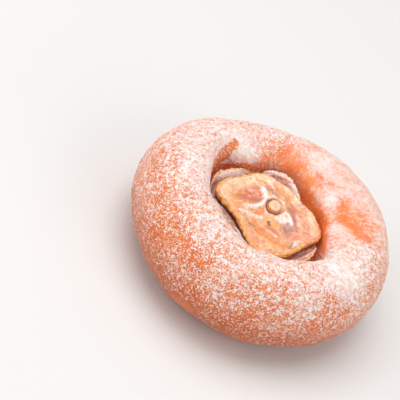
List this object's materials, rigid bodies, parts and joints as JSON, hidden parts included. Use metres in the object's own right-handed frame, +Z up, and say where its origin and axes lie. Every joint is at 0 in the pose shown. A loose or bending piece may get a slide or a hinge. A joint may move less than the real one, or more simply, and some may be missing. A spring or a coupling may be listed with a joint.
{
  "type": "dried persimmon",
  "caption": "Dried persimmon: a flattened cushion of sugar-frosted flesh round a deep pocket that holds a ring of peel, a trimmed calyx and the stub of the stalk.",
  "frame": {"origin": "middle of the bounding box in plan, on the surface that the fruit rests on", "axes": "+Z up through the pocket and the stalk stub, +X along the long way of the outline"},
  "size_m": [0.07, 0.0692, 0.0272],
  "materials": {
    "flesh": "matte",
    "peel": "matte",
    "calyx": "gloss",
    "stalk": "satin"
  },
  "bodies": {
    "root": {"flesh": "flesh", "peel_ring": "peel", "calyx": "calyx", "stalk_stub": "stalk"}
  },
  "joints": []
}
